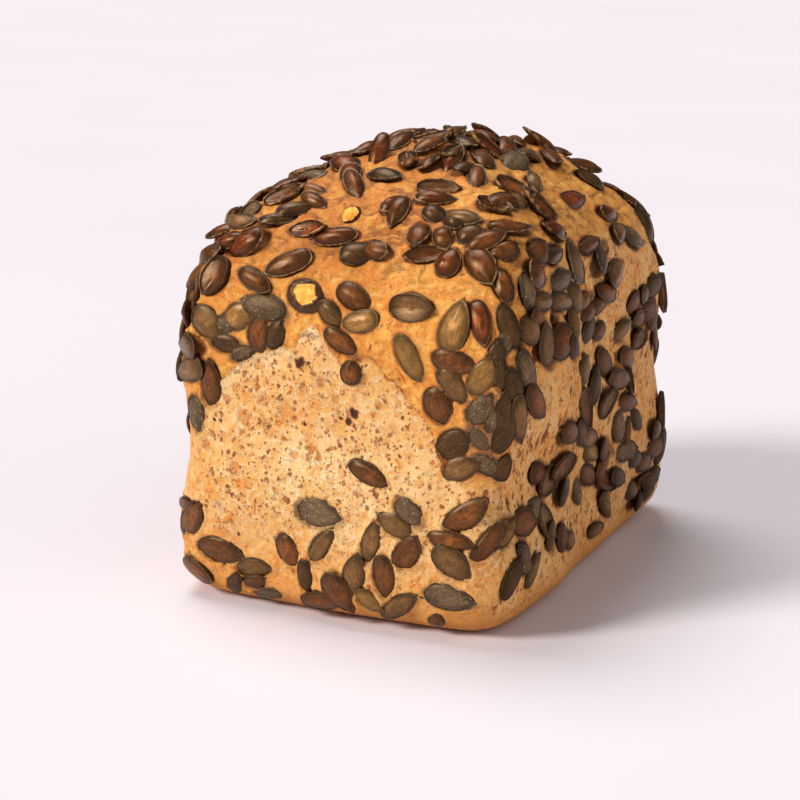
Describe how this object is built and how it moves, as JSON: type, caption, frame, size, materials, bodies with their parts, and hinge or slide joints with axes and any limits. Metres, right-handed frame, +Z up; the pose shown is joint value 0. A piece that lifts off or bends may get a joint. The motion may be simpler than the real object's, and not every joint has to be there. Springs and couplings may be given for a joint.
{
  "type": "carrot bread loaf with pumpkin seeds",
  "caption": "Small tall tin loaf of carrot bread with a domed top, rounded corners and a crust set all over with pumpkin seeds.",
  "frame": {"origin": "middle of the flat underside", "axes": "+X to the right along the end face that is seen first, +Y back along the loaf, +Z up"},
  "size_m": [0.1139, 0.1496, 0.1284],
  "materials": {
    "crust": "baked bread crust: pale tan and porous on the walls, golden orange on the dome",
    "seeds": "roasted pumpkin seeds: dark red-brown to olive, satin"
  },
  "bodies": {
    "root": {"loaf": "crust"}
  },
  "joints": []
}
